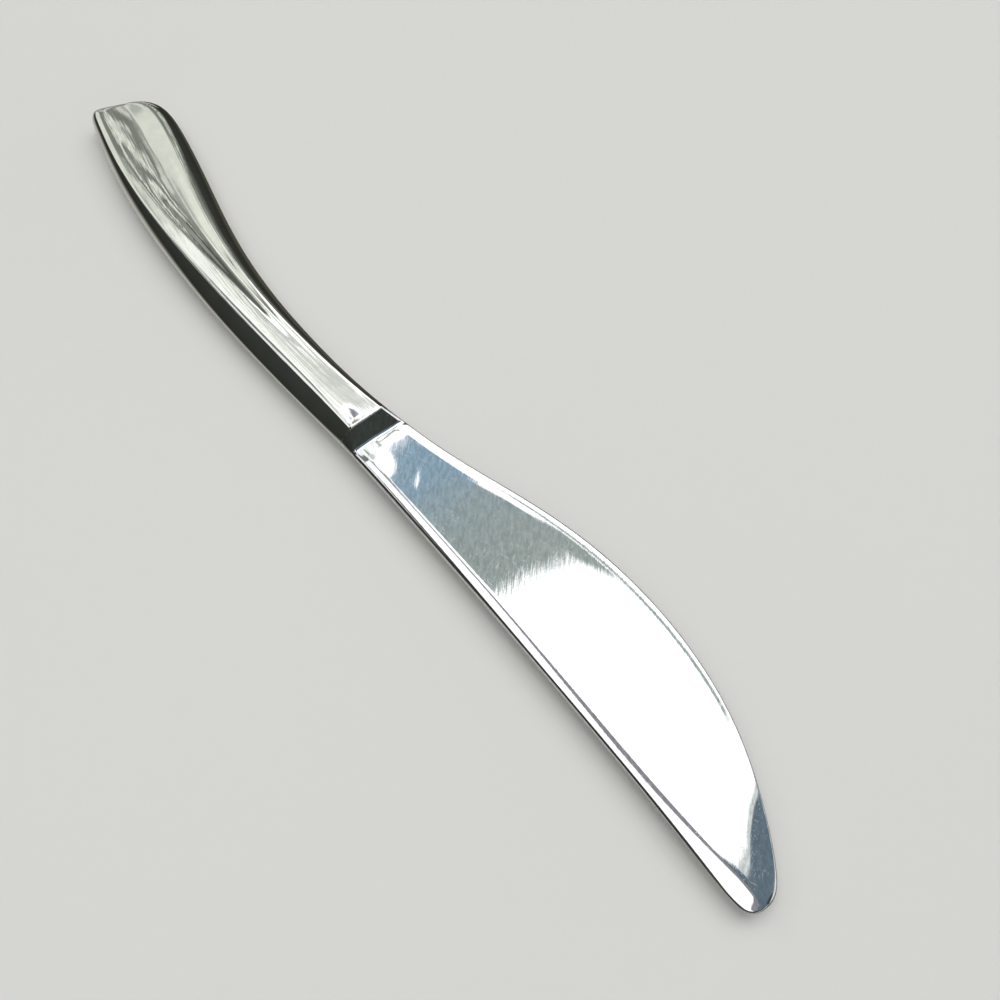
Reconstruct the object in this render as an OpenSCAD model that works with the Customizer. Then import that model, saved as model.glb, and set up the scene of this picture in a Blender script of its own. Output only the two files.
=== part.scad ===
// Dinner knife with a swollen blade, a sloped bolster and a hollow, curved,
// fluted handle. The knife lies on its side: +X runs from the butt to the tip,
// +Y from the spine to the cutting edge, +Z up. Lengths are in millimetres.

/* [Blade] */
// Length of the blade from its heel to the tip
blade_len = 110; // [98:1:122]
// How far the belly swells, as a share of the usual swell
belly = 1; // [0.8:0.05:1.15]
// Thickness of the spine at the heel
spine_t = 3.5; // [2.8:0.1:4]
// Thickness of the cutting edge at the middle of the blade
edge_t = 0.7; // [0.5:0.05:1]

/* [Bolster and tang] */
// Length of the sloped shoulder between the handle and the blade
bolster_len = 3.6; // [3:0.1:5]
// Length of the tang inside the handle
tang_len = 52; // [40:1:54]
// Thickness of the tang
tang_t = 2.6; // [2:0.1:2.8]

/* [Handle] */
// Length of the handle behind the bolster
handle_len = 103; // [94:1:112]
// Thickness over the flat faces of the handle
handle_t = 7.4; // [7.2:0.1:8]
// Wall of each half shell
wall = 0.9; // [0.7:0.05:1]
// Depth of the channel between the two ridges
channel_d = 0.95; // [0.5:0.05:1]
// Thickness of the brazed joints
braze_t = 0.2; // [0.15:0.05:0.3]

/* [Hidden] */

// Divisions along and across the lofted surfaces
handle_n = 44;
handle_m = 20;
blade_n = 40;
blade_m = 20;
core_i = 33;

// Blade: control stations [x share, spine y, swell of the edge over the heel]
heel_edge = 5.9;
spine_pts = [[0, -6.6], [0.09, -5.9], [0.22, -5], [0.38, -3.9], [0.565, -3],
             [0.745, -2.2], [0.89, -2], [0.977, -1.9], [1, -0.8], [1, 2.4]];
edge_pts = [[0, 0], [0.09, 2.3], [0.22, 8], [0.38, 13.8], [0.565, 16.1],
            [0.745, 13.9], [0.88, 7.7], [0.97, 1.8], [1, -1.2], [1, -3.5]];
// Blade form: [half thickness at the spine and inside the edge, as shares of the
// driving sizes, width of the bevel along the spine, width over which the face
// rolls down to the edge, half thickness at the very edge]
blade_form = [[0.5, 1.6, 2, 3.2, 1.17], [0.49, 1.5, 2, 3.2, 1.03], [0.46, 1.3, 2.1, 3.4, 0.79],
              [0.42, 1.15, 2.1, 4.6, 0.54], [0.37, 1.05, 2, 5, 0.43], [0.33, 1, 1.8, 5, 0.4],
              [0.32, 0.95, 2.9, 4.8, 0.37], [0.33, 0.9, 4.2, 4.6, 0.37], [0.33, 0.9, 2.4, 4.2, 0.4],
              [0.33, 0.9, 0.5, 3.6, 0.4]];
// Fall of the bevel along the spine, as a share of its width
bevel = 0.27;

// Handle: control stations [spine side x, y, edge side x, y], the x as a share
// of the handle length measured back from the mouth
handle_plan = [[0, -7, 0, 4.8], [0.1, -8.3, 0.09, 2.9], [0.255, -10.2, 0.235, 1.4],
               [0.41, -11.5, 0.39, 0.9], [0.565, -12.1, 0.545, 2.3],
               [0.72, -11.7, 0.7, 5.6], [0.855, -10, 0.825, 7.8],
               [0.955, -7.7, 0.905, 8.6], [1.005, -6.6, 0.947, 7.2],
               [1.003, -4, 0.967, 4.6], [0.977, 2, 0.977, 2]];
// Handle form: [half height share, width of the spine side and of the edge side,
// how flat those sides are, channel centre, its reach to either side, its depth share]
handle_form = [[1, 3.1, 1.2, 0.75, 0.7, 0.1, 0.06, 0], [1, 3.8, 1.5, 0.75, 0.7, 0.1, 0.06, 0],
               [1, 3.7, 2, 0.75, 0.7, 0.1, 0.06, 0], [1, 3.5, 2.5, 0.7, 0.67, 0.12, 0.1, 0.3],
               [1, 2.9, 3.1, 0.6, 0.6, 0.22, 0.16, 0.7], [0.92, 2.4, 3.5, 0.45, 0.56, 0.34, 0.24, 0.85],
               [0.81, 1.8, 3.2, 0.35, 0.54, 0.4, 0.3, 0.8], [0.72, 1.6, 2.8, 0.3, 0.52, 0.4, 0.32, 0.65],
               [0.67, 1.6, 2.4, 0.25, 0.5, 0.4, 0.34, 0.4], [0.63, 1.6, 1.8, 0.25, 0.5, 0.4, 0.34, 0.25],
               [0.6, 1.6, 1.6, 0.2, 0.5, 0.4, 0.34, 0.2]];
butt_r = 1.6;

// Clamped uniform cubic B-spline through a list of control values
function knot(i, m) = max(0, min(1, (i - 3) / m));
function boor(P, t, m, i, r, j) = r == 0 ? P[j + i - 3] :
    let (a = knot(j + i - 3, m), b = knot(j + 1 + i - r, m), w = (t - a) / (b - a))
    boor(P, t, m, i, r - 1, j - 1) * (1 - w) + boor(P, t, m, i, r - 1, j) * w;
function spline(P, t) = let (m = len(P) - 3, s = min(floor(t * m), m - 1)) boor(P, t, m, s + 3, 3, 3);

// Quarter round that rises from 0 to 1 over the length r
function quarter(d, r) = let (q = 1 - max(0, min(1, d / max(r, 0.001)))) sqrt(max(0, 1 - q * q));
// Soft bump of height 1 that reaches a to the left of its centre and b to the right
function bump(v, c, a, b) = let (q = (v - c) / (v < c ? a : b)) abs(q) < 1 ? pow(1 - q * q, 2) : 0;

// Rise of a side from its rim at 0 to the face at 1: partly flat, partly rounded
function side(u, k) = u < 1 ? k * u + (1 - k) * quarter(u, 1) : 1 + (u - 1) * k;

rim = braze_t / 2;
x_mouth = -bolster_len - braze_t;
flat_z = handle_t / 2;

// Chord of the handle at station t: both ends, drawn in by the given amount
function h_chord(t, inset) =
    let (p = spline(handle_plan, t), a = [x_mouth - p[0] * handle_len, p[1]],
         b = [x_mouth - p[2] * handle_len, p[3]], w = norm(b - a), d = w > 0.001 ? (b - a) / w : [0, 0])
    [a + d * inset, b - d * inset];
function mid(c) = (c[0] + c[1]) / 2;
// Height of the handle surface over the seam, at the share v of a chord
function h_height(t, v, c, inset, tip) =
    let (f = spline(handle_form, t), w = norm(c[1] - c[0]), top = f[0] * (flat_z - rim) - inset,
         left = side(v * w / max(f[1] - inset, 0.5), f[3]),
         right = side((1 - v) * w / max(f[2] - inset, 0.5), 0.4 * f[3]))
    max(0, min(top - channel_d * f[7] * bump(v, f[4], f[5], f[6]), top * left, top * right))
    * quarter(norm(mid(c) - tip), butt_r);
function h_t(i) = 1 - pow(1 - i / handle_n, 1.4);
core_end = h_t(core_i);
function share(j, m) = 0.5 - 0.5 * cos(180 * j / m);
h_tip = mid(h_chord(1, 0));
h_tip_in = mid(h_chord(core_end, wall));
// The hollow ends in a shallow bow towards the butt
function h_bow(t, v, inset) = inset > 0 ? 3.2 * v * (1 - v) * pow(t / core_end, 6) : 0;
function h_point(t, v, inset, tip, s) =
    let (c = h_chord(t, inset), p = c[0] * (1 - v) + c[1] * v)
    [p[0] - h_bow(t, v, inset), p[1], s * (rim + h_height(t, v, c, inset, tip))];

// Blade surface
function b_chord(t) = let (a = spline(spine_pts, t), b = spline(edge_pts, t))
    [[a[0] * blade_len, a[1]], [b[0] * blade_len, heel_edge + b[1] * (b[1] > 0 ? belly : 1)]];
b_tip = b_chord(1)[0];
function b_height(t, v, c) =
    let (f = spline(blade_form, t), w = norm(c[1] - c[0]), a = f[0] * spine_t, b = f[1] * edge_t,
         base = a + (b - a) * v, ds = v * w, de = (1 - v) * w,
         fall = bevel * max(0, min(f[2], 0.3 * w) - ds),
         roll = (b - f[4] * edge_t) * pow(max(0, 1 - de / min(f[3], 0.4 * w)), 2))
    max(0, base - fall - roll - rim) * quarter(ds, min(0.5 + 0.5 * pow(1 - t, 3), 0.1 * w)) * quarter(de, min(0.3, 0.1 * w))
    * (t > 0 ? quarter(norm(mid(c) - b_tip), 0.9) : 1);
function b_t(i) = 1 - pow(1 - i / blade_n, 1.3);

// The bolster: half section at the mouth of the handle, then the slope to the heel
shoulder_n = 8;
function mouth_z(v) = h_height(0, v, h_chord(0, 0), 0, h_tip);
function s_point(k, v, s) =
    let (q = k / shoulder_n, g = 1 - pow(1 - q, 1.15), m = h_chord(0, 0), h = b_chord(0),
         a = m[0] * (1 - q) + h[0] * q, b = m[1] * (1 - q) + h[1] * q, p = a * (1 - v) + b * v,
         z = mouth_z(v) * (1 - g) + b_height(0, v, h) * g)
    [-bolster_len * (1 - q), p[1], s * (rim + z)];
function b_point(i, v, s) =
    let (c = b_chord(b_t(i)), p = c[0] * (1 - v) + c[1] * v) [p[0], p[1], s * (rim + b_height(b_t(i), v, c))];

// Frame: centre of the outline in X and Y, with the flat of the handle at z = 0
outline = concat([for (i = [0 : 200]) each h_chord(i / 200, 0)], [for (i = [0 : 200]) each b_chord(i / 200)]);
x_mid = (min([for (p = outline) p[0]]) + max([for (p = outline) p[0]])) / 2;
y_mid = (min([for (p = outline) p[1]]) + max([for (p = outline) p[1]])) / 2;

module in_frame() { translate([-x_mid, -y_mid, flat_z]) children(); }

// Closed solid between an upper and a lower grid of the same size: n + 1 rows of
// m + 1 points each, the rows running along the knife and the points across it
module skin(upper, lower, n, m) {
    k = (n + 1) * (m + 1);
    u = function (i, j) i * (m + 1) + j;
    l = function (i, j) k + i * (m + 1) + j;
    polyhedron(points = concat(upper, lower), faces = concat(
        [for (i = [0 : n - 1], j = [0 : m - 1]) each [[u(i, j), u(i + 1, j), u(i + 1, j + 1)], [u(i, j), u(i + 1, j + 1), u(i, j + 1)]]],
        [for (i = [0 : n - 1], j = [0 : m - 1]) each [[l(i, j), l(i + 1, j + 1), l(i + 1, j)], [l(i, j), l(i, j + 1), l(i + 1, j + 1)]]],
        [for (i = [0 : n - 1]) each [[u(i, 0), l(i + 1, 0), u(i + 1, 0)], [u(i, 0), l(i, 0), l(i + 1, 0)]]],
        [for (i = [0 : n - 1]) each [[u(i, m), u(i + 1, m), l(i + 1, m)], [u(i, m), l(i + 1, m), l(i, m)]]],
        [for (j = [0 : m - 1]) each [[u(0, j), u(0, j + 1), l(0, j + 1)], [u(0, j), l(0, j + 1), l(0, j)]]],
        [for (j = [0 : m - 1]) each [[u(n, j), l(n, j + 1), u(n, j + 1)], [u(n, j), l(n, j), l(n, j + 1)]]]));
}

// One half shell; s is 1 for the upper and -1 for the lower half. The rows of its
// outer and inner faces pair up as far as the hollow reaches; behind that, the seam
// runs from the end of the hollow to the outline of the butt.
module half_shell(s) {
    n = handle_n;
    m = handle_m;
    e = core_i;
    outer = [for (i = [0 : n - 1], j = [0 : m]) h_point(h_t(i), share(j, m), 0, h_tip, 1)];
    inner = [for (i = [0 : e], j = [0 : m]) h_point(h_t(i), share(j, m), wall, h_tip_in, 1)];
    k = n * (m + 1);
    tip = k + (e + 1) * (m + 1);
    o = function (i, j) i * (m + 1) + j;
    p = function (i, j) k + i * (m + 1) + j;
    butt = concat([for (i = [e : n - 1]) o(i, 0)], [tip], [for (i = [n - 1 : -1 : e]) o(i, m)]);
    w = len(butt) - 1;
    b = function (a) p(e, round(a * m / w));
    mirror([0, 0, s > 0 ? 0 : 1])
    polyhedron(points = concat(outer, inner, [[h_tip[0], h_tip[1], rim]]), faces = concat(
        [for (i = [0 : n - 2], j = [0 : m - 1]) each [[o(i, j), o(i + 1, j), o(i + 1, j + 1)], [o(i, j), o(i + 1, j + 1), o(i, j + 1)]]],
        [for (j = [0 : m - 1]) [o(n - 1, j), tip, o(n - 1, j + 1)]],
        [for (i = [0 : e - 1], j = [0 : m - 1]) each [[p(i, j), p(i + 1, j + 1), p(i + 1, j)], [p(i, j), p(i, j + 1), p(i + 1, j + 1)]]],
        [for (j = [0 : m - 1]) each [[o(0, j), o(0, j + 1), p(0, j + 1)], [o(0, j), p(0, j + 1), p(0, j)]]],
        [for (i = [0 : e - 1]) each [[o(i, 0), p(i, 0), p(i + 1, 0)], [o(i, 0), p(i + 1, 0), o(i + 1, 0)]]],
        [for (i = [0 : e - 1]) each [[o(i, m), p(i + 1, m), p(i, m)], [o(i, m), o(i + 1, m), p(i + 1, m)]]],
        [for (a = [0 : w - 1]) [butt[a], b(a + 1), butt[a + 1]]],
        [for (a = [0 : w - 1]) if (b(a) != b(a + 1)) [butt[a], b(a), b(a + 1)]]));
}

// Outline of the tang seen from above, with a pair of notches that the cement fills
module tang_outline() {
    e = x_mouth - tang_len;
    polygon([[-1.2, -4], [x_mouth - 6, -4.6], [e + 12, -7.4], [e + 11, -6], [e + 7, -6.2],
             [e + 6, -7.6], [e, -7], [e, -3.6], [e + 6, -2.4], [e + 7, -3.8], [e + 11, -3.6],
             [e + 12, -2], [x_mouth - 6, 1], [-1.2, 1.4]]);
}
module tang() { translate([0, 0, -tang_t / 2]) linear_extrude(height = tang_t) tang_outline(); }

module blade() {
    n = shoulder_n + blade_n;
    m = blade_m;
    up = concat([for (k = [0 : shoulder_n], j = [0 : m]) s_point(k, share(j, m), 1)],
                [for (i = [1 : blade_n], j = [0 : m]) b_point(i - (i == blade_n ? 0.04 : 0), share(j, m), 1)]);
    low = [for (p = up) [p[0], p[1], -p[2]]];
    color([0.8, 0.82, 0.84]) in_frame() union() {
        mirror([1, 0, 0]) skin([for (p = up) [-p[0], p[1], p[2]]], [for (p = low) [-p[0], p[1], p[2]]], n, m);
        tang();
    }
}

module handle_top_shell() {
    color([0.8, 0.8, 0.77]) in_frame() half_shell(1);
}

module handle_bottom_shell() {
    color([0.72, 0.72, 0.7]) in_frame() half_shell(-1);
}

// Closed outline of the joint between the shells, open at the mouth
module seam_outline() {
    n = handle_n;
    polygon(concat([for (i = [0 : n]) h_chord(h_t(i), 0)[0]], [for (i = [n - 1 : -1 : 0]) h_chord(h_t(i), 0)[1]],
                   [for (i = [0 : core_i]) h_chord(h_t(i), wall)[1]],
                   [for (j = [handle_m - 1 : -1 : 1]) let (p = h_point(core_end, share(j, handle_m), wall, h_tip_in, 1)) [p[0], p[1]]],
                   [for (i = [core_i : -1 : 0]) h_chord(h_t(i), wall)[0]]));
}

module seam_braze() {
    color([0.7, 0.68, 0.6]) in_frame() translate([0, 0, -rim]) linear_extrude(height = braze_t) seam_outline();
}

// Closed half section of the mouth, drawn in by the given amount
function mouth_loop(inset) =
    let (c = h_chord(0, inset), m = handle_m,
         top = [for (j = [0 : m]) let (v = share(j, m))
                [c[0][1] * (1 - v) + c[1][1] * v,
                 rim + (inset > 0 ? h_height(0, v, c, inset, h_tip_in) : mouth_z(v))]])
    concat(top, [for (j = [m : -1 : 0]) [top[j][0], -top[j][1]]]);

module bolster_braze() {
    color([0.7, 0.68, 0.6]) in_frame() translate([x_mouth, 0, 0]) rotate([90, 0, 90])
        linear_extrude(height = braze_t) difference() {
            polygon(mouth_loop(0));
            polygon(mouth_loop(wall));
        }
}

module cement_core() {
    n = core_i;
    m = handle_m;
    plug = [for (j = [0 : m]) let (p = h_point(0, share(j, m), wall, h_tip_in, 1)) [p[0] + braze_t, p[1], p[2]]];
    up = concat(plug, [for (i = [0 : n], j = [0 : m]) h_point(h_t(i), share(j, m), wall, h_tip_in, 1)]);
    low = [for (p = up) [p[0], p[1], -p[2]]];
    color([0.62, 0.6, 0.56]) in_frame() difference() {
        skin(up, low, n + 1, m);
        tang();
    }
}

blade();
handle_top_shell();
handle_bottom_shell();
seam_braze();
bolster_braze();
cement_core();
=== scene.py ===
import math

import bmesh
import bpy
import numpy as np
from mathutils import Matrix, Vector


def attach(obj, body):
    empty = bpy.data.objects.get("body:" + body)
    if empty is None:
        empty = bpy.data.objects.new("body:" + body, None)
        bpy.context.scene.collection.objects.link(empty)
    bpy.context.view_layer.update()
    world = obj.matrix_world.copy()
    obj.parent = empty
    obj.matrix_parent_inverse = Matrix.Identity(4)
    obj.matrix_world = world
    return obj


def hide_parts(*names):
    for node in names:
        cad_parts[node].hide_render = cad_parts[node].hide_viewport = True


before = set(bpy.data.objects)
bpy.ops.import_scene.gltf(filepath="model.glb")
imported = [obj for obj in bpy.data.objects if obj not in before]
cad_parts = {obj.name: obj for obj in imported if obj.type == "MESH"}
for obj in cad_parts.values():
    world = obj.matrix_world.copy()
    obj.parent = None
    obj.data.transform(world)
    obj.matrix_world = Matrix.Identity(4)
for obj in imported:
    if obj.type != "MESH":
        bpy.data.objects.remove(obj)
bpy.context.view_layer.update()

scene = bpy.context.scene

# ---------------------------------------------------------------- sizes (mm)
BLADE_LEN, BOLSTER_LEN, HANDLE_LEN, HANDLE_T = 110.0, 3.6, 103.0, 7.4
SPINE_T, EDGE_T, WALL, CHANNEL, BRAZE = 3.5, 0.7, 0.9, 0.95, 0.2
TANG_LEN, TANG_T, HEEL_EDGE, BUTT_R = 52.0, 2.6, 5.9, 1.6
RIM = BRAZE / 2
X_MOUTH = -BOLSTER_LEN - BRAZE
X_EDGE = -BOLSTER_LEN - BRAZE / 2               # where the flat of the handle turns down
FLAT_Z = HANDLE_T / 2
CORE_T = 1 - (11 / 44) ** 1.4
BEVEL, ROUND = .27, .4                       # slope of the bevel along the spine; how round the handle's edge side is
HEEL_DROP, HEEL_LOBE, HEEL_FILLET, MOUTH_FILLET = .13, .36, .5, .24

SPINE = [(0, -6.6), (.09, -5.9), (.22, -5), (.38, -3.9), (.565, -3), (.745, -2.2), (.89, -2),
         (.977, -1.9), (1, -.8), (1, 2.4)]
EDGE = [(0, 0), (.09, 2.3), (.22, 8), (.38, 13.8), (.565, 16.1), (.745, 13.9), (.88, 7.7),
        (.97, 1.8), (1, -1.2), (1, -3.5)]
# half thickness at the spine and inside the edge (shares), bevel width, edge roll width,
# half thickness at the very edge, softness of the bevel's inner corner
BLADE_FORM = [(.5, 1.6, 2, 3.2, .82, .1), (.49, 1.5, 2, 3.2, .72, .1), (.46, 1.3, 2.1, 3.4, .55, .1),
              (.42, 1.15, 2.1, 4.6, .38, .14), (.37, 1.05, 2, 5, .3, .3), (.33, 1, 1.8, 5, .28, .5),
              (.32, .95, 2.9, 4.8, .26, .25), (.33, .9, 4.2, 4.6, .26, .15), (.33, .9, 2.4, 4.2, .28, .2),
              (.33, .9, .5, 3.6, .28, .25)]
PLAN = [(0, -7, 0, 4.8), (.1, -8.3, .09, 2.9), (.255, -10.2, .235, 1.4), (.41, -11.5, .39, .9),
        (.565, -12.1, .545, 2.3), (.72, -11.7, .7, 5.6), (.855, -10, .825, 7.8),
        (.955, -7.7, .905, 8.6), (1.005, -6.6, .947, 7.2), (1.003, -4, .967, 4.6), (.977, 2, .977, 2)]
# half height share, width of the spine side and of the edge side, how flat those sides are,
# channel centre, its reach to either side, its depth share
FORM = [(1, 3.1, 1.2, .75, .7, .1, .06, 0), (1, 3.8, 1.5, .75, .7, .1, .06, 0), (1, 3.7, 2, .75, .7, .1, .06, 0),
        (1, 3.5, 2.5, .7, .67, .12, .1, .3), (1, 2.9, 3.1, .6, .6, .22, .16, .7),
        (.92, 2.4, 3.5, .45, .56, .34, .24, .85), (.81, 1.8, 3.2, .35, .54, .4, .3, .8),
        (.72, 1.6, 2.8, .3, .52, .4, .32, .65), (.67, 1.6, 2.4, .25, .5, .4, .34, .4),
        (.63, 1.6, 1.8, .25, .5, .4, .34, .25), (.6, 1.6, 1.6, .2, .5, .4, .34, .2)]


# ---------------------------------------------------------------- helpers
def spline(points, t):
    """Clamped uniform cubic B-spline; t may have any shape."""
    p = np.asarray(points, float)
    m = len(p) - 3
    t = np.clip(np.asarray(t, float), 0, 1)
    flat = t.ravel()
    knots = np.clip((np.arange(len(p) + 4) - 3) / m, 0, 1)
    s = np.minimum((flat * m).astype(int), m - 1) + 3
    d = [p[s - 3 + j] for j in range(4)]
    for r in range(1, 4):
        for j in range(3, r - 1, -1):
            a, b = knots[j + s - 3], knots[j + 1 + s - r]
            w = ((flat - a) / (b - a))[:, None]
            d[j] = d[j - 1] * (1 - w) + d[j] * w
    return d[3].reshape(t.shape + (p.shape[1],))


def quarter(d, r):
    q = 1 - np.clip(d / np.maximum(r, .001), 0, 1)
    return np.sqrt(np.clip(1 - q * q, 0, 1))


def bump(v, c, a, b):
    q = (v - c) / np.where(v < c, a, b)
    return np.where(np.abs(q) < 1, (1 - q * q) ** 2, 0)


def smooth(x, a, b):
    t = np.clip((x - a) / (b - a), 0, 1)
    return t * t * (3 - 2 * t)


def smin(a, b, k):
    h = np.clip(1 - np.abs(a - b) / np.maximum(k, 1e-6), 0, 1)
    return np.minimum(a, b) - h * h * k / 4


def smax(a, b, k):
    return -smin(-a, -b, k)


def cloud(x, y, seed):
    """Smooth unevenness between -1 and 1, one cell per unit, the same on every run."""
    table = np.random.default_rng(seed).uniform(-1, 1, (64, 64))
    i, j = np.floor(x).astype(int), np.floor(y).astype(int)
    u, w = x - i, y - j
    u, w = u * u * u * (u * (6 * u - 15) + 10), w * w * w * (w * (6 * w - 15) + 10)
    at = lambda a, b: table[a % 64, b % 64]
    return ((at(i, j) * (1 - u) + at(i + 1, j) * u) * (1 - w)
            + (at(i, j + 1) * (1 - u) + at(i + 1, j + 1) * u) * w)


def share(n):
    return .5 - .5 * np.cos(np.pi * np.arange(n + 1) / n)


def columns(knots, counts, ease=True):
    """Distances across each row: every stretch between two knots gets its count of steps."""
    out = [knots[0][:, None]]
    for a, b, n in zip(knots[:-1], knots[1:], counts):
        f = share(n)[1:] if ease else (np.arange(n) + 1) / n
        out.append(a[:, None] + (b - a)[:, None] * f[None, :])
    return np.concatenate(out, 1)


def nearest(points, curve, ts):
    """Distance from each point to a curve, and the curve's station there."""
    p = points.reshape(-1, 2)
    best, where = np.empty(len(p)), np.empty(len(p))
    n = len(curve)
    for k in range(0, len(p), 4000):
        q = p[k:k + 4000]
        i = ((q[:, None] - curve[None]) ** 2).sum(-1).argmin(1)
        d, s = np.full(len(q), np.inf), np.zeros(len(q))
        for a in (np.maximum(i - 1, 0), np.minimum(i, n - 2)):
            ab = curve[a + 1] - curve[a]
            u = np.clip(((q - curve[a]) * ab).sum(-1) / np.maximum((ab ** 2).sum(-1), 1e-12), 0, 1)
            e = np.linalg.norm(q - curve[a] - ab * u[:, None], axis=1)
            s = np.where(e < d, ts[a] + (ts[a + 1] - ts[a]) * u, s)
            d = np.minimum(d, e)
        best[k:k + 4000], where[k:k + 4000] = d, s
    return best.reshape(points.shape[:-1]), where.reshape(points.shape[:-1])


def handle_chord(t, inset=0.0):
    p = spline(PLAN, np.atleast_1d(t))
    a = np.c_[X_MOUTH - p[:, 0] * HANDLE_LEN, p[:, 1]]
    b = np.c_[X_MOUTH - p[:, 2] * HANDLE_LEN, p[:, 3]]
    w = np.linalg.norm(b - a, axis=1)[:, None]
    d = np.where(w > .001, (b - a) / np.maximum(w, 1e-9), 0)
    return a + d * inset, b - d * inset


def blade_chord(t):
    a, b = spline(SPINE, np.atleast_1d(t)), spline(EDGE, np.atleast_1d(t))
    return np.c_[a[:, 0] * BLADE_LEN, a[:, 1]], np.c_[b[:, 0] * BLADE_LEN, HEEL_EDGE + b[:, 1]]


HANDLE_TIP = sum(c[0] for c in handle_chord(1.0)) / 2
HANDLE_TIP_IN = sum(c[0] for c in handle_chord(CORE_T, WALL)) / 2
ts = np.arange(201) / 200
outline = np.concatenate([*handle_chord(ts), *blade_chord(ts)])
MID = (outline.min(0) + outline.max(0)) / 2
FINE = 1 - (1 - np.arange(701) / 700) ** 1.5
HANDLE_LINES = handle_chord(FINE)
BLADE_LINES = blade_chord(FINE)
# the bevel runs straight on past the rounded tip
run = BLADE_LINES[0][BLADE_LINES[0][:, 0] < .945 * BLADE_LEN]
ahead = (run[-1] - run[-4]) / np.linalg.norm(run[-1] - run[-4])
BEVEL_LINE = np.concatenate([run, run[-1] + ahead * np.array([[3.0], [6.0], [12.0]])])
BEVEL_AT = np.concatenate([FINE[:len(run)], np.full(3, FINE[len(run) - 1])])


def to_frame(p):
    """From the knife's own millimetres to the frame's metres."""
    p = np.asarray(p, float)
    return (p + np.array([-MID[0], -MID[1], FLAT_Z])) / 1000


def between(c, v):
    """Points at the shares v (rows x columns) of the chords c."""
    return c[0][:, None, :] * (1 - v)[..., None] + c[1][:, None, :] * v[..., None]


def width(c):
    return np.linalg.norm(c[1] - c[0], axis=1)


# ---------------------------------------------------------------- handle form
def side(u, k):
    return np.where(u < 1, k * u + (1 - k) * quarter(u, 1.0), 1 + (u - 1) * k)


def handle_z(p, t, v, wear=True):
    """Height over the seam of points p at stations t and shares v of the chords."""
    f = [x[:, None] for x in spline(FORM, t).T]
    dl, sl = nearest(p, HANDLE_LINES[0], FINE)
    dr, sr = nearest(p, HANDLE_LINES[1], FINE)
    fl, fr = spline(FORM, sl), spline(FORM, sr)
    top = f[0] * (FLAT_Z - RIM)
    face = top - CHANNEL * f[7] * bump(v, f[4], f[5], f[6])
    if wear:
        face = face - handle_wear(p, t, v)
    flank = top * np.minimum(side(dl / fl[..., 1], fl[..., 3]), side(dr / fr[..., 2], ROUND * fr[..., 3]))
    k = .4 * np.clip(flank / top, .05, 1)
    return RIM + np.maximum(smin(face, flank, k), 0)


def handle_wear(p, t, v):
    """How far the hand-finished face lies under its true form."""
    x, y = p[..., 0], p[..., 1]
    back = smooth(-x, 48, 72) * smooth(-x, 108, 100)
    u = 15 * v
    rough = .55 + .5 * cloud(x / 15, u / 2.1, 11) + .16 * cloud(x / 7 + 7, u / 1.1, 12)
    rough = .085 * back * (rough + .06 * cloud(x / 2.2, u / .7, 13))
    crown = .09 * (2 * v - 1) ** 2 * smooth(-x, 72, 46) * smooth(-x, 3.8, 9)
    dab = .13 * np.exp(-((x + 4.9) / 1.5) ** 2 - ((y + 2.3) / 1.1) ** 2) * smooth(-x, 3.8, 4.8)
    return np.maximum(rough + crown + dab, 0)


def hollow_z(t, v, c):
    """The hollow's height, a wall under the true form."""
    f = [x[:, None] for x in spline(FORM, t).T]
    w = width(c)[:, None]
    top = f[0] * (FLAT_Z - RIM) - WALL
    flank = np.minimum(side(v * w / np.maximum(f[1] - WALL, .5), f[3]),
                       side((1 - v) * w / np.maximum(f[2] - WALL, .5), ROUND * f[3]))
    end = quarter(np.linalg.norm((c[0] + c[1]) / 2 - HANDLE_TIP_IN, axis=1)[:, None], BUTT_R)
    return RIM + np.maximum(np.minimum(top - CHANNEL * f[7] * bump(v, f[4], f[5], f[6]), top * flank), 0) * end


def handle_rows(n):
    near = np.array([0, .0003, .0006, .0009, .0012, .0016, .002, .0025, .003, .004])
    return np.concatenate([near, 1 - (1 - np.arange(1, n + 1) / n) ** 1.4])


def handle_grid(n, counts):
    t = handle_rows(n)
    c = handle_chord(t)
    w = width(c)
    f = spline(FORM, t)
    a, b = np.minimum(f[:, 1], .36 * w), np.minimum(f[:, 2], .36 * w)
    d = columns([np.zeros(len(t)), a, w - b, w], counts)
    v = d / np.maximum(w, 1e-9)[:, None]
    p = between(c, v)
    z = handle_z(p, t, v)
    # the front edge rounds over towards the bolster
    x = p[..., 0]
    z = np.where(x > X_MOUTH - 1.2, turn_down(z, z[:1], mouth_slope(v[0])[None, :], x), z)
    return np.concatenate([p, z[..., None]], -1), t, v, c


def hollow_grid(n, m):
    t = CORE_T * np.arange(n + 1) / n
    v = np.broadcast_to(share(m)[None, :], (n + 1, m + 1))
    c = handle_chord(t, WALL)
    p = between(c, v)
    p[..., 0] -= 3.2 * v * (1 - v) * (t[:, None] / CORE_T) ** 6
    z = hollow_z(t, v, c)
    return np.concatenate([p, z[..., None]], -1), t, v


# ---------------------------------------------------------------- blade form
def blade_z(p, t, v, wear=True):
    f = [x[:, None] for x in spline(BLADE_FORM, t).T]
    ds = nearest(p, BLADE_LINES[0], FINE)[0]
    de, se = nearest(p, BLADE_LINES[1], FINE)
    db, sb = nearest(p, BEVEL_LINE, BEVEL_AT)
    fb, fe = spline(BLADE_FORM, sb), spline(BLADE_FORM, se)
    a, b = f[0] * SPINE_T, f[1] * EDGE_T
    z = a + (b - a) * v
    if wear:
        z = z - blade_wear(p, v)
    z = z + smin(0 * z, BEVEL * (db - fb[..., 2]), fb[..., 5])
    z = z - (fe[..., 1] * EDGE_T - fe[..., 4]) * np.clip(1 - de / fe[..., 3], 0, 1) ** 2
    z = RIM + (z - RIM) * quarter(ds, .5 + .5 * (1 - smooth(p[..., 0], 5, 60))) * quarter(de, .3)
    return z


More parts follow.
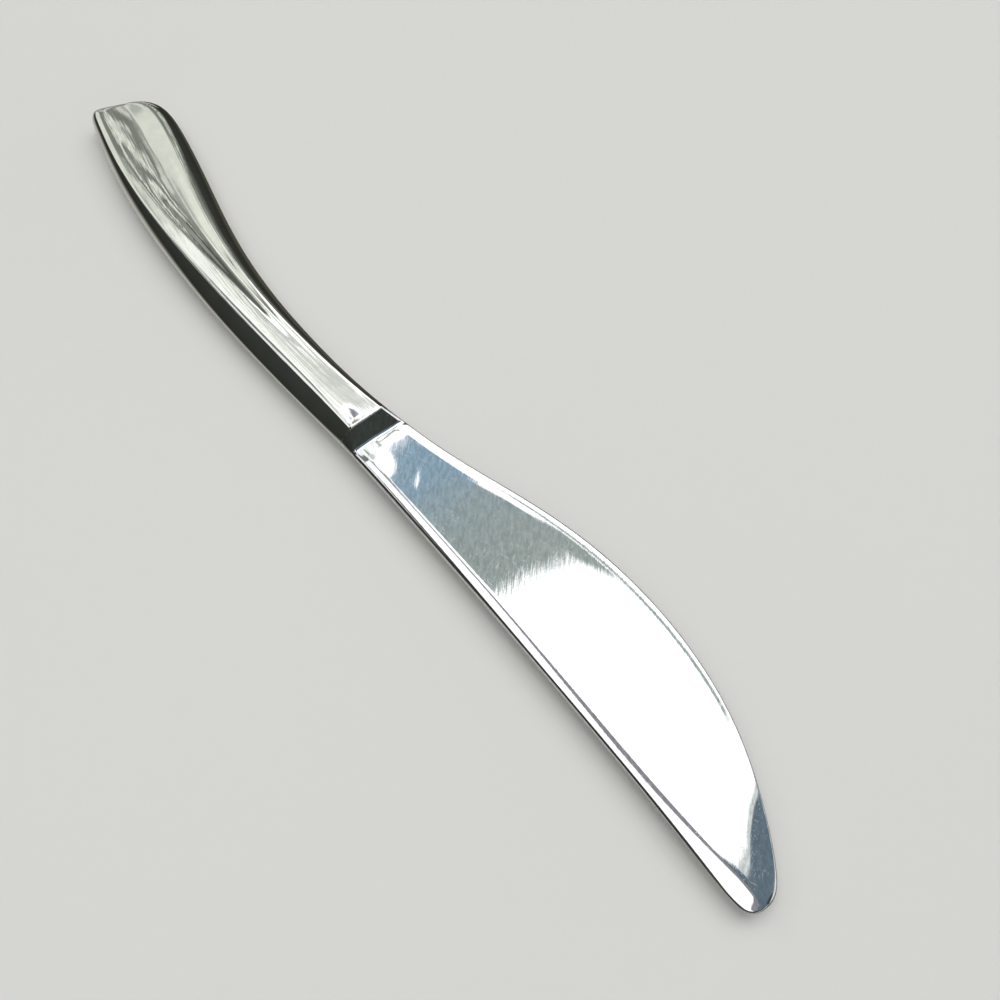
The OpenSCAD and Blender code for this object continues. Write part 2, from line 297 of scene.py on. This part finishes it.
def heel_fall(x, v):
    """Share by which the face dips as it comes to the bolster."""
    reach = 2.9 + .35 * np.sin(9 * v + 1)
    lobe = HEEL_LOBE * (smax(.43 - v, 0 * v, .04) - smax(.2 - v, 0 * v, .04))
    lobe = lobe * (1 - smooth(x, 3, 9.5)) * (1.9 - .9 * smooth(x, .5, 4))
    return HEEL_DROP * (.15 + .85 * smooth(v, .05, .16)) * np.clip(1 - x / reach, 0, 4) ** 2 + lobe


def blade_wear(p, v):
    x, y = p[..., 0], p[..., 1]
    along = (x - 11.7) * .77 - (y + .1) * .64
    over = (x - 11.7) * .64 + (y + .1) * .77
    dent = .036 * np.exp(-(along / 3.0) ** 2 - (over / np.where(over > 0, 1.15, 2.2)) ** 2)
    flow = .004 * cloud(x / 9.0, y / 6.0, 3) + .0016 * cloud(x / 3.5, y / 2.6, 4)
    return dent + .0045 + flow


def blade_columns(t, c):
    w = width(c)
    f = spline(BLADE_FORM, t)
    k1 = np.minimum(.6, .06 * w)
    k2 = np.clip(f[:, 2] - .5, 1.2 * k1, .25 * w)
    k3 = np.minimum(f[:, 2] + .5, .4 * w)
    k4 = np.maximum(w - f[:, 3] - .3, k3 + .15 * w)
    k5 = w - np.minimum(.3, .05 * w)
    return columns([0 * w, k1, k2, k3, k4, k5, w], BLADE_COUNTS) / np.maximum(w, 1e-9)[:, None]


BLADE_COUNTS = (12, 10, 16, 34, 22, 10)


def mouth_section(v):
    """Points of the handle's front section at the shares v of its chord."""
    c = handle_chord(0.0)
    p = between(c, v[None, :])
    return p[0], handle_z(p, np.zeros(1), v[None, :], False)[0]


def mouth_shares():
    """Columns of the front section that pair with the columns of the blade's heel."""
    c = handle_chord(0.0)
    w = width(c)[0]
    f = spline(FORM, np.zeros(1))[0]
    heel = blade_columns(np.zeros(1), blade_chord(0.0))[0]
    n0, n1 = BLADE_COUNTS[0], sum(BLADE_COUNTS[:-1])
    a, b = f[1] / w, 1 - f[2] / w
    mid = a + (b - a) * (heel[n0:n1 + 1] - heel[n0]) / (heel[n1] - heel[n0])
    return np.concatenate([a * share(n0)[:-1], mid, b + (1 - b) * share(BLADE_COUNTS[-1])[1:]]), heel


def heel_section():
    vm, vh = mouth_shares()
    pm, zm = mouth_section(vm)
    c = blade_chord(0.0)
    ph = between(c, vh[None, :])
    z0 = blade_z(ph, np.zeros(1), vh[None, :], False)[0]
    zh = RIM + (z0 - RIM) * (1 - heel_fall(0.0, vh))
    return vm, vh, pm, zm, ph[0], z0, zh


def mouth_slope(v):
    """Fall of the bolster per millimetre at the shares v of the mouth."""
    vm, vh, pm, zm, ph, z0, zh = heel_section()
    return np.interp(v, vm, (zh - zm) / -X_EDGE)


def turn_down(z, mouth, fall, x):
    """Rounds the height z over into the slope that starts at the handle's front edge."""
    k = MOUTH_FILLET * np.clip((mouth - RIM) / 3, .02, 1)
    return np.maximum(smin(z, mouth + fall * (x - X_EDGE), k), RIM)


def blade_grid(nb, n):
    vm, vh, pm, zm, ph, z0, zh = heel_section()
    fall = (zh - zm) / -X_EDGE
    soft = np.clip((z0 - RIM) / 1.4, .02, 1)
    # the slope of the bolster, with its front edge and its foot rounded
    q = np.arange(nb + 1) / nb
    xs = -BOLSTER_LEN * (1 - q)
    shoulder = pm[None] * (1 - q)[:, None, None] + ph[None] * q[:, None, None]
    shoulder[..., 0] = xs[:, None]
    line = turn_down(zm[None], zm[None], fall[None], xs[:, None])
    face = RIM + (z0 - RIM)[None] * (1 - heel_fall(xs[:, None], vh[None]))
    zs = smax(line, face, HEEL_FILLET * soft[None])
    shoulder = np.concatenate([shoulder, np.maximum(zs, RIM)[..., None]], -1)
    # the blade
    t = np.concatenate([np.arange(1, 26) * .0008, .02 + np.arange(1, 76) * .001,
                        1 - .905 * (1 - np.arange(1, n + 1) / n) ** 1.3])
    t[-1] = 1 - (.04 / n) ** 1.3
    c = blade_chord(t)
    v = blade_columns(t, c)
    p = between(c, v)
    z = blade_z(p, t, v)
    x = p[..., 0]
    z = RIM + (z - RIM) * (1 - heel_fall(x, v))
    near = x < 3
    z = np.where(near, smax(z, zh[None] + fall[None] * x, HEEL_FILLET * soft[None]), z)
    g = np.concatenate([p, np.maximum(z, RIM)[..., None]], -1)
    return np.concatenate([shoulder, g])


# ---------------------------------------------------------------- mesh making
def new_piece(name, verts, faces, smooth_angle=40, brush=None):
    mesh = bpy.data.meshes.new(name)
    mesh.from_pydata([tuple(x) for x in to_frame(verts)], [], [tuple(int(i) for i in f) for f in faces])
    mesh.validate()
    mesh.shade_smooth()
    mesh.set_sharp_from_angle(angle=math.radians(smooth_angle))
    if brush is not None:
        layer = mesh.attributes.new("brush", "FLOAT_VECTOR", "POINT")
        layer.data.foreach_set("vector", np.asarray(brush, np.float32).ravel())
    obj = bpy.data.objects.new(name, mesh)
    scene.collection.objects.link(obj)
    return obj


def quads(n, m, at=0, flip=False):
    i, j = np.meshgrid(np.arange(n), np.arange(m), indexing="ij")
    a = at + i * (m + 1) + j
    q = np.stack([a, a + m + 1, a + m + 2, a + 1], -1).reshape(-1, 4)
    return [list(r[::-1]) if flip else list(r) for r in q]


def blade_piece():
    up = blade_grid(40, 190)
    end = up[-1, 0]
    up = up[:-1]
    rows, m = up.shape[0] - 1, up.shape[1] - 1
    low = up * np.array([1, 1, -1])
    k = up.shape[0] * up.shape[1]
    verts = np.concatenate([up.reshape(-1, 3), low.reshape(-1, 3), [end, end * np.array([1, 1, -1])]])
    faces = quads(rows, m, 0, True) + quads(rows, m, k, False)
    for i in range(rows):
        a, b = i * (m + 1), (i + 1) * (m + 1)
        faces.append([a, b, k + b, k + a])
        faces.append([a + m, k + a + m, k + b + m, b + m])
    # both faces close on the end point of the tip
    e, t1, t2 = rows * (m + 1), 2 * k, 2 * k + 1
    faces += [[e + j, e + j + 1, t1] for j in range(m)]
    faces += [[k + e + j + 1, k + e + j, t2] for j in range(m)]
    faces += [[e, t1, t2, k + e], [e + m, k + e + m, t2, t1]]
    # back of the bolster, with the tang growing out of it
    ring = list(range(m + 1)) + [k + j for j in range(m, -1, -1)]
    x0, e0 = X_MOUTH - 6, X_MOUTH - TANG_LEN
    side_a = [(x0, -4.6), (e0 + 12, -7.4), (e0 + 11, -6), (e0 + 7, -6.2), (e0 + 6, -7.6), (e0, -7)]
    side_b = [(e0, -3.6), (e0 + 6, -2.4), (e0 + 7, -3.8), (e0 + 11, -3.6), (e0 + 12, -2), (x0, 1)]
    f = (-BOLSTER_LEN + 1.2) / (x0 + 1.2)
    root_a = (-BOLSTER_LEN, -4 + (-4.6 + 4) * f)
    root_b = (-BOLSTER_LEN, 1.4 + (1 - 1.4) * f)
    plan = [root_a] + side_a + side_b + [root_b]
    h = TANG_T / 2
    base = len(verts)
    np_ = len(plan)
    verts = np.concatenate([verts, [(x, y, h) for x, y in plan], [(x, y, -h) for x, y in plan]])
    top = [base + i for i in range(np_)]
    bot = [base + np_ + i for i in range(np_)]
    faces.append(top)
    faces.append(bot[::-1])
    for i in range(np_ - 1):
        faces.append([top[i], bot[i], bot[i + 1], top[i + 1]])
    brush = np.stack([verts[:, 0], verts[:, 1], np.sign(verts[:, 2])], -1)
    obj = new_piece("knife_blade", verts, faces, 45, brush)
    bm = bmesh.new()
    bm.from_mesh(obj.data)
    bm.verts.ensure_lookup_table()
    loop = [(ring[i], ring[(i + 1) % len(ring)]) for i in range(len(ring))]
    loop += [(top[0], bot[0]), (bot[0], bot[-1]), (bot[-1], top[-1]), (top[-1], top[0])]
    edges = []
    for a, b in loop:
        va, vb = bm.verts[a], bm.verts[b]
        edges.append(bm.edges.get((va, vb)) or bm.edges.new((va, vb)))
    made = bmesh.ops.triangle_fill(bm, edges=edges, use_beauty=True)
    for x in made["geom"]:
        if isinstance(x, bmesh.types.BMFace):
            x.smooth = False
    bmesh.ops.recalc_face_normals(bm, faces=bm.faces)
    bm.to_mesh(obj.data)
    bm.free()
    obj.data.set_sharp_from_angle(angle=math.radians(45))
    return obj


def shell_piece(name, side_sign):
    ni, mi = 60, 30
    g, t, v, c = handle_grid(230, (26, 48, 24))
    m = g.shape[1] - 1
    inner, ti, vi = hollow_grid(ni, mi)
    w = width(c)
    length = np.concatenate([[0], np.cumsum(np.linalg.norm(np.diff((c[0] + c[1]) / 2, axis=0), axis=1))])
    g = g[:-1]
    n = len(g)
    rows = n - 1
    brush_o = np.stack([np.broadcast_to(length[:-1, None], (n, m + 1)), (v[:-1] - .5) * w[:-1, None], np.ones((n, m + 1))], -1)
    verts = np.concatenate([g.reshape(-1, 3), inner.reshape(-1, 3), [[HANDLE_TIP[0], HANDLE_TIP[1], RIM]]])
    brush = np.concatenate([brush_o.reshape(-1, 3), np.zeros((inner.size // 3, 3)), [[length[-1], 0, 1]]])
    k = n * (m + 1)
    tip = len(verts) - 1
    o = lambda i, j: i * (m + 1) + j
    p = lambda i, j: k + i * (mi + 1) + j
    faces = quads(rows, m, 0)
    faces += [[o(rows, j), tip, o(rows, j + 1)] for j in range(m)]
    faces += quads(ni, mi, k, True)
    # the mouth and the seam are single flat faces, open to each other at the front
    faces.append([o(0, j) for j in range(m + 1)] + [p(0, j) for j in range(mi, -1, -1)])
    faces.append([p(i, 0) for i in range(ni + 1)] + [p(ni, j) for j in range(1, mi)]
                 + [p(i, mi) for i in range(ni, -1, -1)] + [o(i, m) for i in range(n)] + [tip]
                 + [o(i, 0) for i in range(rows, -1, -1)])
    if side_sign < 0:
        verts = verts * np.array([1, 1, -1])
    else:
        faces = [f[::-1] for f in faces]
    return new_piece(name, verts, faces, 40, brush)


def seam_piece():
    c = handle_chord(handle_rows(230))
    outer = np.concatenate([c[0], c[1][-2::-1]])
    inner, ti, vi = hollow_grid(60, 30)
    hole = np.concatenate([inner[:, 0, :2], inner[-1, 1:-1, :2], inner[::-1, -1, :2]])
    loop = np.concatenate([outer, hole[::-1]])
    k = len(loop)
    verts = np.concatenate([np.c_[loop, np.full(k, RIM)], np.c_[loop, np.full(k, -RIM)]])
    faces = [list(range(k))[::-1], list(range(k, 2 * k))]
    for i in range(k):
        j = (i + 1) % k
        faces.append([i, j, k + j, k + i])
    obj = new_piece("handle_seam_braze", verts, faces, 30)
    fix_normals(obj)
    return obj


def ring_piece():
    u = share(30)
    vm, vh, pm, zm, ph, zf, zh = heel_section()
    c1 = handle_chord(0.0, WALL)
    z1 = hollow_z(np.zeros(1), u[None, :], c1)[0]
    y1 = c1[0][0, 1] * (1 - u) + c1[1][0, 1] * u
    b = np.concatenate([np.c_[y1, z1], np.c_[y1, -z1][::-1]])
    bm = bmesh.new()
    loops = []
    for x in (X_MOUTH, -BOLSTER_LEN):
        z0 = turn_down(zm, zm, (zh - zm) / -X_EDGE, x)
        a = np.concatenate([np.c_[pm[:, 1], z0], np.c_[pm[:, 1], -z0][::-1]])
        loops.append([[bm.verts.new(to_frame((x, y, z))) for y, z in s] for s in (a, b)])
    edges = []
    for la, lb in loops:
        for s in (la, lb):
            edges.append([bm.edges.new((s[i], s[(i + 1) % len(s)])) for i in range(len(s))])
    for i in (0, 2):
        bmesh.ops.triangle_fill(bm, edges=edges[i] + edges[i + 1], use_beauty=True)
    for r in (0, 1):
        s, t = loops[0][r], loops[1][r]
        for i in range(len(s)):
            j = (i + 1) % len(s)
            bm.faces.new((s[i], s[j], t[j], t[i]))
    bmesh.ops.recalc_face_normals(bm, faces=bm.faces)
    mesh = bpy.data.meshes.new("bolster_braze_ring")
    bm.to_mesh(mesh)
    bm.free()
    mesh.shade_smooth()
    mesh.set_sharp_from_angle(angle=math.radians(30))
    obj = bpy.data.objects.new("bolster_braze_ring", mesh)
    scene.collection.objects.link(obj)
    return obj


def fix_normals(obj):
    bm = bmesh.new()
    bm.from_mesh(obj.data)
    bmesh.ops.recalc_face_normals(bm, faces=bm.faces)
    bm.to_mesh(obj.data)
    bm.free()
    obj.data.set_sharp_from_angle(angle=math.radians(30))


# ---------------------------------------------------------------- node helpers
class Nodes:
    def __init__(self, tree):
        self.tree = tree

    def add(self, kind, **props):
        node = self.tree.nodes.new(kind)
        for k, val in props.items():
            setattr(node, k, val)
        return node

    def put(self, socket, value):
        if isinstance(value, bpy.types.NodeSocket):
            self.tree.links.new(value, socket)
        else:
            socket.default_value = value

    def math(self, op, a, b=0.0, c=0.0, clamp=False):
        n = self.add("ShaderNodeMath", operation=op, use_clamp=clamp)
        for s, x in zip(n.inputs, (a, b, c)):
            self.put(s, x)
        return n.outputs[0]

    def ramp(self, x, a, b, lo=0.0, hi=1.0):
        n = self.add("ShaderNodeMapRange", interpolation_type="SMOOTHSTEP")
        for s, val in zip(n.inputs, (x, a, b, lo, hi)):
            self.put(s, val)
        return n.outputs[0]

    def band(self, x, a, b, soft):
        return self.math("MULTIPLY", self.ramp(x, a - soft, a + soft), self.ramp(x, b - soft, b + soft, 1.0, 0.0))

    def noise(self, vector, scale, detail=2.0, rough=0.5, distortion=0.0):
        n = self.add("ShaderNodeTexNoise")
        self.put(n.inputs["Vector"], vector)
        n.inputs["Scale"].default_value = scale
        n.inputs["Detail"].default_value = detail
        n.inputs["Roughness"].default_value = rough
        n.inputs["Distortion"].default_value = distortion
        return n.outputs[0]

    def stretch(self, vector, scale, turn=0.0, shift=(0, 0, 0)):
        """Turns the coordinates, then stretches them."""
        if turn:
            r = self.add("ShaderNodeMapping", vector_type="POINT")
            self.put(r.inputs["Vector"], vector)
            r.inputs["Rotation"].default_value = (0, 0, turn)
            vector = r.outputs[0]
        n = self.add("ShaderNodeMapping", vector_type="POINT")
        self.put(n.inputs["Vector"], vector)
        n.inputs["Location"].default_value = shift
        n.inputs["Scale"].default_value = scale
        return n.outputs[0]

    def mix(self, f, a, b):
        n = self.add("ShaderNodeMix", data_type="RGBA")
        self.put(n.inputs[0], f)
        self.put(n.inputs[6], a)
        self.put(n.inputs[7], b)
        return n.outputs[2]


def material(name):
    m = bpy.data.materials.new(name)
    m.use_nodes = True
    t = m.node_tree
    shader = t.nodes.get("Principled BSDF")
    return m, Nodes(t), shader


# ---------------------------------------------------------------- materials
def blade_steel():
    m, n, s = material("blade_steel")
    co = n.add("ShaderNodeAttribute", attribute_name="brush").outputs["Vector"]
    s.inputs["Metallic"].default_value = 1.0
    split = n.add("ShaderNodeSeparateXYZ")
    n.put(split.inputs[0], co)
    along = split.outputs[0]
    grind = math.radians(41)
    lines = n.noise(n.stretch(co, (.16, 1.7, 1), grind), 1.0, 3.0, .6)
    fine = n.noise(n.stretch(co, (.5, 7.0, 1), grind, (3, 1, 0)), 1.0, 2.0, .5)
    cross = n.noise(n.stretch(co, (.35, 4.0, 1), math.radians(-72), (1, 8, 0)), 1.0, 2.0, .5)
    patch = n.noise(co, .16, 3.0, .55)
    tone = n.noise(n.stretch(co, (.5, 1.3, 1), grind, (7, 2, 0)), 1.0, 5.0, .68)
    pits = n.noise(n.stretch(co, (2.2, 2.9, 1), 0, (4, 9, 0)), 1.0, 3.0, .62)
    pits = n.ramp(pits, .68, .78)
    marks = n.ramp(n.noise(n.stretch(co, (.22, 7.5, 1), math.radians(-24), (6, 3, 0)), 1.0, 2.0, .55), .655, .74)
    marks2 = n.ramp(n.noise(n.stretch(co, (.3, 8.5, 1), math.radians(66), (2, 5, 0)), 1.0, 2.0, .55), .655, .74)
    marks = n.math("MAXIMUM", marks, marks2)
    n.put(s.inputs["Base Color"], n.mix(n.ramp(tone, .3, .7), (.60, .62, .63, 1), (.86, .87, .87, 1)))
    n.put(s.inputs["Roughness"], n.math("ADD", n.ramp(patch, .3, .75, .025, .05), n.math("MAXIMUM", n.ramp(fine, .6, .85, 0.0, .05), n.math("MULTIPLY", marks, .14))))
    b = n.add("ShaderNodeBump")
    b.inputs["Strength"].default_value = 1.0
    b.inputs["Distance"].default_value = 6e-6
    h = n.math("ADD", lines, n.math("MULTIPLY", fine, .16))
    h = n.math("ADD", h, n.math("MULTIPLY", cross, .1))
    h = n.math("MULTIPLY", h, n.ramp(along, 50.0, 88.0, 1.0, .22))
    h = n.math("MULTIPLY", h, n.ramp(along, 5.0, 22.0, .3, 1.0))
    h = n.math("ADD", h, n.math("MULTIPLY", pits, 1.2))
    h = n.math("SUBTRACT", h, n.math("MULTIPLY", marks, .11))
    n.put(b.inputs["Height"], h)
    n.put(s.inputs["Normal"], b.outputs[0])
    return m


def handle_steel():
    m, n, s = material("handle_steel")
    co = n.add("ShaderNodeAttribute", attribute_name="brush").outputs["Vector"]
    s.inputs["Metallic"].default_value = 1.0
    lines = n.noise(n.stretch(co, (.05, 1.5, 1)), 1.0, 3.0, .6)
    fine = n.noise(n.stretch(co, (.25, 5.0, 1), 0, (5, 2, 0)), 1.0, 2.0, .5)
    grain = n.noise(n.stretch(co, (.8, 2.2, 1), 0, (2, 6, 0)), 1.0, 4.0, .65)
    patch = n.noise(co, .2, 3.0, .55)
    n.put(s.inputs["Base Color"], n.mix(n.ramp(patch, .3, .7), (.75, .755, .735, 1), (.83, .83, .80, 1)))
    n.put(s.inputs["Roughness"], n.math("ADD", n.ramp(patch, .3, .75, .035, .07), n.ramp(fine, .5, .8, 0.0, .05)))
    b = n.add("ShaderNodeBump")
    b.inputs["Strength"].default_value = 1.0
    b.inputs["Distance"].default_value = 1.2e-5
    h = n.math("ADD", lines, n.math("MULTIPLY", fine, .2))
    n.put(b.inputs["Height"], n.math("ADD", h, n.math("MULTIPLY", grain, .12)))
    n.put(s.inputs["Normal"], b.outputs[0])
    return m


def braze_metal():
    m, n, s = material("braze")
    co = n.add("ShaderNodeTexCoord").outputs["Object"]
    s.inputs["Metallic"].default_value = 1.0
    patch = n.noise(co, 900.0, 3.0, .6)
    n.put(s.inputs["Base Color"], n.mix(n.ramp(patch, .35, .7), (.6, .57, .5, 1), (.72, .7, .64, 1)))
    n.put(s.inputs["Roughness"], n.ramp(patch, .3, .7, .16, .34))
    b = n.add("ShaderNodeBump")
    b.inputs["Strength"].default_value = .5
    b.inputs["Distance"].default_value = 4e-6
    n.put(b.inputs["Height"], patch)
    n.put(s.inputs["Normal"], b.outputs[0])
    return m


def cement():
    m, n, s = material("cement")
    co = n.add("ShaderNodeTexCoord").outputs["Object"]
    big = n.noise(co, 260.0, 5.0, .62)
    grit = n.noise(co, 1900.0, 3.0, .6)
    n.put(s.inputs["Base Color"], n.mix(n.ramp(big, .3, .7), (.42, .4, .37, 1), (.6, .58, .53, 1)))
    n.put(s.inputs["Roughness"], n.ramp(grit, .3, .7, .82, .97))
    b = n.add("ShaderNodeBump")
    b.inputs["Strength"].default_value = .8
    b.inputs["Distance"].default_value = 6e-5
    n.put(b.inputs["Height"], n.math("ADD", big, n.math("MULTIPLY", grit, .4)))
    n.put(s.inputs["Normal"], b.outputs[0])
    return m


def floor_paint():
    m, n, s = material("floor_paint")
    co = n.add("ShaderNodeTexCoord").outputs["Object"]
    cloud = n.noise(co, 3.0, 3.0, .5)
    n.put(s.inputs["Base Color"], n.mix(cloud, (.79, .78, .76, 1), (.83, .82, .80, 1)))
    s.inputs["Roughness"].default_value = .75
    return m


# ---------------------------------------------------------------- pieces
blade = blade_piece()
blade.data.materials.append(blade_steel())
steel = handle_steel()
upper = shell_piece("handle_upper_shell", 1)
lower = shell_piece("handle_lower_shell", -1)
for shell in (upper, lower):
    shell.data.materials.append(steel)
brass = braze_metal()
seam = seam_piece()
ring = ring_piece()
for joint in (seam, ring):
    joint.data.materials.append(brass)
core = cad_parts["cement_core"]
core.data.materials.clear()
core.data.materials.append(cement())

for piece, node, slot in ((blade, "blade", "blade_steel"), (upper, "handle_top_shell", "handle_steel"),
                          (lower, "handle_bottom_shell", "handle_steel"), (seam, "seam_braze", "braze"),
                          (ring, "bolster_braze", "braze")):
    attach(piece, "root")
    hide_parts(node)

# ---------------------------------------------------------------- floor
bpy.ops.mesh.primitive_grid_add(x_subdivisions=8, y_subdivisions=8, size=40.0, location=(0, 0, -.00002))
floor = bpy.context.object
floor.name = "floor"
floor.data.materials.append(floor_paint())
floor.visible_glossy = False

# ---------------------------------------------------------------- light
world = bpy.data.worlds.new("studio")
scene.world = world
world.use_nodes = True
w = Nodes(world.node_tree)
world.node_tree.nodes.clear()
direction = w.add("ShaderNodeTexCoord").outputs["Generated"]
split = w.add("ShaderNodeSeparateXYZ")
w.put(split.inputs[0], direction)
dx, dy, dz = split.outputs
up = w.math("MAXIMUM", dz, .04)
px, py = w.math("DIVIDE", dx, up), w.math("DIVIDE", dy, up)
above = w.ramp(dz, .02, .12)
low = w.mix(w.ramp(dy, -.12, .12), (.5, .49, .45, 1), (.085, .08, .062, 1))
sky = [None]


def paint(colour, x0, x1, y0, y1, soft=.02, soft_y=None, lean=0.0):
    """Lays a soft-edged card of one colour over what is there; sizes in tangents from straight up.
    A leaning card's left and right borders move over as they rise from .3."""
    x = w.math("SUBTRACT", px, w.math("MULTIPLY", w.math("SUBTRACT", py, .3), lean)) if lean else px
    mask = w.math("MULTIPLY", w.band(x, x0, x1, soft), w.band(py, y0, y1, soft_y or soft))
    sky[0] = w.mix(w.math("MULTIPLY", mask, above), sky[0], (*colour, 1))


def grey(k, tint=(1, 1, 1)):
    return tuple(k * c for c in tint)


CREAM = (.985, 1.02, .925)
PALE = (.985, 1.015, .97)
sky[0] = w.mix(w.ramp(dz, -.3, .9), (.027, .028, .023, 1), (.052, .058, .053, 1))
sky[0] = w.mix(w.ramp(dz, -.42, -.05), low, sky[0])
# behind the handle: a wide pale wall with darker steps
paint(grey(.82, CREAM), -2.4, -.5, -.8, .16, .04)
paint(grey(.5, CREAM), -2.4, -.5, .165, .5, .03, .03)
paint(grey(.78, PALE), -.66, -.46, .165, .27, .02)
paint(grey(.24, CREAM), -2.4, -.99, .2, .74, .04)
paint(grey(.8, CREAM), -1.07, -.98, .22, .34, .03)
paint(grey(1.0, CREAM), -2.4, -1.02, .47, .53, .03, .02)
paint(grey(1.0, CREAM), -2.4, -1.06, .66, .74, .03, .02)
paint(grey(.36, CREAM), -1.6, -1.17, .78, 1.1, .04)
paint(grey(.1, CREAM), -1.12, -.5, .7, 1.5, .04)
paint(grey(.15, CREAM), -1.0, -.73, .5, .8, .05)
paint(grey(.26, CREAM), -.98, -.86, .24, .5, .03)
paint(grey(.55, CREAM), -1.05, -.86, -.22, .06, .03)
paint(grey(.94, CREAM), -1.3, -.72, -.78, -.36, .05)
# in front of that, nearer to the blade
paint(grey(1.15, PALE), -.9, -.5, -.12, .16, .05, .015)
paint(grey(1.32, PALE), -.71, -.46, -.04, .158, .03, .015)
paint(grey(.22), -.74, -.46, -.56, -.14, .06, .04)
paint(grey(.22), -1.0, -.6, -.95, -.6, .06, .05)
paint(grey(.3), -1.5, -.86, -1.8, -.86, .06, .05)
paint(grey(1.1), -.88, -.46, -1.75, -.68, .05, .06)
paint(grey(1.7), -.76, -.5, .25, .4, .02, .01)
paint(grey(1.7), -.72, -.5, .38, 1.5, .02)
paint(grey(1.7), -.79, -.5, .38, .8, .02)
paint(grey(.5), -.69, -.65, .255, .45, .012)
# overhead
paint((.155, .21, .255), .02, .62, -.02, 1.4, .04)
paint(grey(1.9), -.5, -.1, -.02, 1.7, .01)
paint(grey(1.9), -.45, .142, -.02, 1.5, .004, .01, .32)
paint(grey(.75, (.93, 1.0, .97)), .129, .141, .2, 1.2, .004, .01, .32)
paint(grey(1.9), -.5, .12, -.02, .25, .01)
paint(grey(.5, (.88, 1, .96)), -.5, .1, .64, .7, .03, .01)
paint((.395, .45, .43), -.4, -.231, .215, .48, .006, .01)
paint((.41, .46, .44), -.37, -.222, .3, .62, .02, .015)
paint((.32, .46, .575), -.462, -.36, .215, .49, .01, .012, -.46)
paint((.375, .455, .48), -.38, -.32, .215, .48, .05, .012)
paint((.28, .28, .35), -.472, -.36, .0, .14, .02)
# towards the viewer
paint((.33, .32, .35), -.46, .35, -.16, -.02, .012)
paint(grey(1.6), -.5, .26, -.5, -.16, .015)
paint(grey(1.2), .5, 1.1, .7, 1.5, .05)
# pale walls around, low down
wall = w.mix(w.ramp(dz, .03, .55), (.72, .72, .7, 1), (.3, .31, .31, 1))
for ax, ay, a0, a1, z0, z1 in ((.956, .292, -.02, .14, .5, .6), (-.988, .156, .86, .93, .28, .36)):
    turn = w.math("ADD", w.math("MULTIPLY", dx, ax), w.math("MULTIPLY", dy, ay))
    mask = w.math("MULTIPLY", w.ramp(turn, a0, a1), w.ramp(dz, z0, z1, 1.0, 0.0))
    sky[0] = w.mix(w.math("MULTIPLY", mask, w.ramp(dz, 0.0, .04)), sky[0], wall)
back = w.add("ShaderNodeBackground")
w.put(back.inputs["Color"], sky[0])
out = w.add("ShaderNodeOutputWorld")
w.put(out.inputs[0], back.outputs[0])


def area(name, loc, aim, size, power, colour=(1, 1, 1), glossy=False):
    data = bpy.data.lights.new(name, "AREA")
    data.shape = "RECTANGLE"
    data.size, data.size_y = size
    data.energy = power
    data.color = colour
    obj = bpy.data.objects.new(name, data)
    scene.collection.objects.link(obj)
    obj.location = loc
    obj.rotation_euler = (Vector(aim) - Vector(loc)).to_track_quat("-Z", "Y").to_euler()
    obj.visible_glossy = glossy
    return obj


area("soft_top", (-.25, .35, 1.3), (0, 0, 0), (1.2, 1.0), 4.2, (1, .985, .96))
area("soft_side", (.7, -.6, 1.1), (0, 0, 0), (.9, .9), 1.0, (.96, .98, 1))

# ---------------------------------------------------------------- camera
az, el = math.radians(52.806), math.radians(68)
forward = Vector((-math.sin(az) * math.cos(el), math.cos(az) * math.cos(el), -math.sin(el)))
right = Vector((math.cos(az), math.sin(az), 0))
upward = right.cross(forward)
camera_data = bpy.data.cameras.new("camera")
camera_data.sensor_width = 36
camera_data.lens = 36
camera_data.clip_start = .01
camera = bpy.data.objects.new("camera", camera_data)
scene.collection.objects.link(camera)
place = to_frame((82.71, -32.88, 179.59))
rot = Matrix((right, upward, -forward)).transposed().to_4x4()
camera.matrix_world = Matrix.Translation(Vector(place)) @ rot
scene.camera = camera

scene.view_settings.view_transform = "Standard"
scene.view_settings.look = "None"
scene.view_settings.exposure = 0
scene.view_settings.gamma = 1
